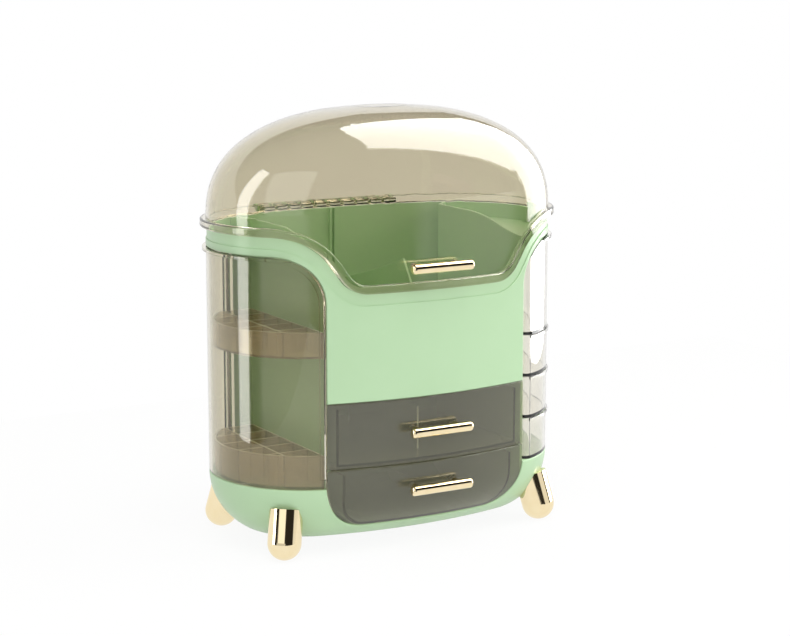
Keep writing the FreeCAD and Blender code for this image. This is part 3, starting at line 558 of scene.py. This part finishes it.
def only_in_gloss(piece: bpy.types.Object) -> None:
    """Show a studio piece only in reflections and in clear edges.

    Args:
        piece: Card or tent.
    """
    piece.visible_camera = False
    piece.visible_diffuse = False
    piece.visible_shadow = False


def face(piece: bpy.types.Object, place: Point, along: Vector) -> None:
    """Stand a card, lamp or camera at its place and turn it.

    Args:
        piece: What stands there.
        place: Its place in metres.
        along: Direction that it faces.
    """
    piece.location = place
    piece.rotation_mode = "QUATERNION"
    piece.rotation_quaternion = along.to_track_quat("-Z", "Y")


class Sight(Enum):
    """How a soft box serves: it lights the object, or only shows in gloss and clear edges."""

    LIGHT = "light"
    CARD = "card"


@dataclass(frozen=True)
class SoftBox:
    """One flat soft box of the studio."""

    name: str
    place: Point
    target: Point
    size: tuple[float, float]
    radiance: float
    sight: Sight
    fade_share: float = 0.0

    def faded(self, tree: Tree, white: Socket) -> Socket:
        """Fade the cloth to clear along its upright sides.

        Args:
            tree: Node tree of the cloth.
            white: The cloth's own shader.

        Returns:
            Socket of the shader to use in its place.
        """
        half = self.size[0] / 2
        place = add_node(tree, "ShaderNodeTexCoord")
        across = add_node(tree, "ShaderNodeSeparateXYZ", links={0: place.outputs["Object"]})
        out = add_node(tree, "ShaderNodeMath", {"operation": "ABSOLUTE"}, {0: across.outputs["X"]})
        fade = add_node(tree, "ShaderNodeMapRange",
                        {"interpolation_type": "SMOOTHSTEP", "From Min": half * (1 - self.fade_share),
                         "From Max": half},
                        {"Value": out.outputs[0]})
        clear = add_node(tree, "ShaderNodeBsdfTransparent")
        both = add_node(tree, "ShaderNodeMixShader",
                        links={0: fade.outputs["Result"], 1: white, 2: clear.outputs["BSDF"]})
        return both.outputs["Shader"]

    def cloth(self) -> bpy.types.Material:
        """Build the white cloth.

        Returns:
            The finished material.
        """
        made, tree = new_material("White cloth of " + self.name)
        white = add_node(tree, "ShaderNodeEmission", {"Color": linear(WHITE), "Strength": self.radiance})
        surface = white.outputs["Emission"]
        if self.fade_share:
            surface = self.faded(tree, surface)
        add_node(tree, "ShaderNodeOutputMaterial", links={"Surface": only_mirrored(tree, surface)})
        return made

    def card(self) -> bpy.types.Object:
        """Make the box as a cloth that only gloss and clear edges show.

        Returns:
            The new object.
        """
        piece = stand(flat_sheet(self.size), self.name, self.cloth())
        only_in_gloss(piece)
        return piece

    def lamp(self) -> bpy.types.Object:
        """Make the box as a lamp that lights the object and isn't seen itself.

        Returns:
            The new object.
        """
        data = bpy.data.lights.new(self.name, "AREA")
        data.shape = "RECTANGLE"
        data.size, data.size_y = self.size
        data.energy = self.radiance * math.pi * self.size[0] * self.size[1]
        piece = bpy.data.objects.new(self.name, data)
        bpy.context.scene.collection.objects.link(piece)
        piece.visible_camera = False
        piece.visible_transmission = False
        piece.visible_glossy = False
        return piece

    def set_up(self) -> None:
        """Hang the box and turn it to its target."""
        piece = self.card() if self.sight is Sight.CARD else self.lamp()
        face(piece, self.place, Vector(self.target) - Vector(self.place))


@dataclass
class Studio:
    """Floor, soft boxes, dark tent, white world and camera."""

    floor_low: tuple[float, float] = (-0.5, -1.0)
    floor_high: tuple[float, float] = (0.75, 0.5)
    floor_drop: float = 0.0002
    floor_colour: str = "#f2f2f0"
    floor_white: float = 0.92
    tent_radius: float = 4.0
    tent_columns: int = 48
    tent_rows: int = 24
    tent_back: float = 0.9
    tent_lean: float = 0.75
    tent_colour: str = "#2c2a27"
    camera_place: Point = (-0.8213, -1.4395, 0.4721)
    camera_along: Point = (0.4935, 0.8509, -0.1799)
    lens: float = 95.4
    sensor: float = 36.0
    world_fill: float = 0.64
    boxes: tuple[SoftBox, ...] = (
        SoftBox("right_card", (1.25, 0.05, 0.95), (0.0, 0.05, 0.2), (1.5, 2.8), 6.0, Sight.CARD),
        SoftBox("right_low_card", (0.9, -1.05, 0.0), (0.0, 0.0, 0.0), (1.0, 0.75), 0.9, Sight.CARD, 0.35),
        SoftBox("left_strip_card", (-1.25, 0.25, 0.45), (-0.14, -0.03, 0.2), (0.34, 2.0), 6.0, Sight.CARD),
        SoftBox("left_front_card", (-1.1, -0.85, 0.95), (0.0, 0.0, 0.2), (1.5, 1.5), 1.2, Sight.CARD, 0.2),
        SoftBox("left_low_card", (-1.1, -0.85, -0.25), (0.0, 0.0, -0.25), (1.7, 1.1), 0.68, Sight.CARD, 0.3),
        SoftBox("right_lamp", (1.6, -0.6, 1.0), (0.0, 0.0, 0.2), (1.2, 1.2), 2.8, Sight.LIGHT),
        SoftBox("front_lamp", (0.3, -2.4, 1.2), (0.0, 0.0, 0.15), (1.6, 1.2), 1.3, Sight.LIGHT),
        SoftBox("top_lamp", (-0.2, -0.5, 1.7), (0.0, 0.0, 0.15), (1.0, 1.0), 3.9, Sight.LIGHT),
        SoftBox("left_lamp", (-1.7, -1.5, 1.3), (0.0, 0.0, 0.15), (1.2, 1.2), 1.05, Sight.LIGHT),
    )

    def world(self) -> None:
        """Make the world white to the eye and a plain fill to the object."""
        world = bpy.data.worlds.new("White studio")
        bpy.context.scene.world = world
        world.use_nodes = True
        tree = world.node_tree
        tree.nodes.clear()
        fill = add_node(tree, "ShaderNodeBackground", {"Color": linear(WHITE), "Strength": self.world_fill})
        white = add_node(tree, "ShaderNodeBackground", {"Color": linear(WHITE)})
        both = add_node(tree, "ShaderNodeMixShader", links={
            0: seen_directly(tree), 1: fill.outputs["Background"], 2: white.outputs["Background"]})
        add_node(tree, "ShaderNodeOutputWorld", links={"Surface": both.outputs["Shader"]})

    def floor(self) -> None:
        """Lay a small pale floor that turns nearly white to the eye and keeps the shadow."""
        low, high = Vector(self.floor_low), Vector(self.floor_high)
        shape = flat_sheet(tuple(high - low))
        bmesh.ops.translate(shape, vec=(*((low + high) / 2), -self.floor_drop), verts=shape.verts)
        made, tree = new_material("Pale studio floor")
        matt = add_node(tree, "ShaderNodeBsdfDiffuse", {"Color": linear(self.floor_colour)})
        white = add_node(tree, "ShaderNodeEmission", {"Color": linear(WHITE)})
        share = add_node(tree, "ShaderNodeMath", {"operation": "MULTIPLY", 1: self.floor_white},
                         {0: seen_directly(tree)})
        both = add_node(tree, "ShaderNodeMixShader", links={
            0: share.outputs[0], 1: matt.outputs["BSDF"], 2: white.outputs["Emission"]})
        add_node(tree, "ShaderNodeOutputMaterial", links={"Surface": both.outputs["Shader"]})
        stand(shape, "studio_floor", made)

    def tent(self) -> None:
        """Hang a dark tent in front and above, which leaves the back white."""
        shape = bmesh.new()
        bmesh.ops.create_uvsphere(shape, u_segments=self.tent_columns, v_segments=self.tent_rows,
                                  radius=self.tent_radius)
        bmesh.ops.bisect_plane(shape, geom=shape.verts[:] + shape.edges[:] + shape.faces[:],
                               plane_co=(0.0, self.tent_back, 0.0), plane_no=(0.0, 1.0, -self.tent_lean),
                               clear_outer=True)
        made, tree = new_material("Dark studio cloth")
        dark = add_node(tree, "ShaderNodeEmission", {"Color": linear(self.tent_colour)})
        add_node(tree, "ShaderNodeOutputMaterial",
                 links={"Surface": only_mirrored(tree, dark.outputs["Emission"])})
        only_in_gloss(stand(shape, "studio_tent", made))

    def camera(self) -> None:
        """Stand the camera where the photograph was taken from."""
        data = bpy.data.cameras.new("camera")
        data.lens = self.lens
        data.sensor_width = self.sensor
        data.sensor_fit = "HORIZONTAL"
        piece = bpy.data.objects.new("camera", data)
        bpy.context.scene.collection.objects.link(piece)
        face(piece, self.camera_place, Vector(self.camera_along))
        bpy.context.scene.camera = piece

    def set_up(self) -> None:
        """Set up the whole studio."""
        self.world()
        self.floor()
        self.tent()
        for box in self.boxes:
            box.set_up()
        self.camera()
        bpy.context.scene.view_settings.view_transform = "Standard"


def main() -> None:
    """Dress every sub-assembly, then set up the studio."""
    logging.basicConfig(level=logging.INFO)
    for piece in [thing for thing in bpy.data.objects if thing.name in STARTUP_OBJECTS]:
        bpy.data.objects.remove(piece)
    wardrobe = Wardrobe()
    for assembly in (Base(), Carcass(), Lid(), Ends(), Drawers()):
        assembly.dress(wardrobe)
    Studio().set_up()


if __name__ == "__main__":
    main()
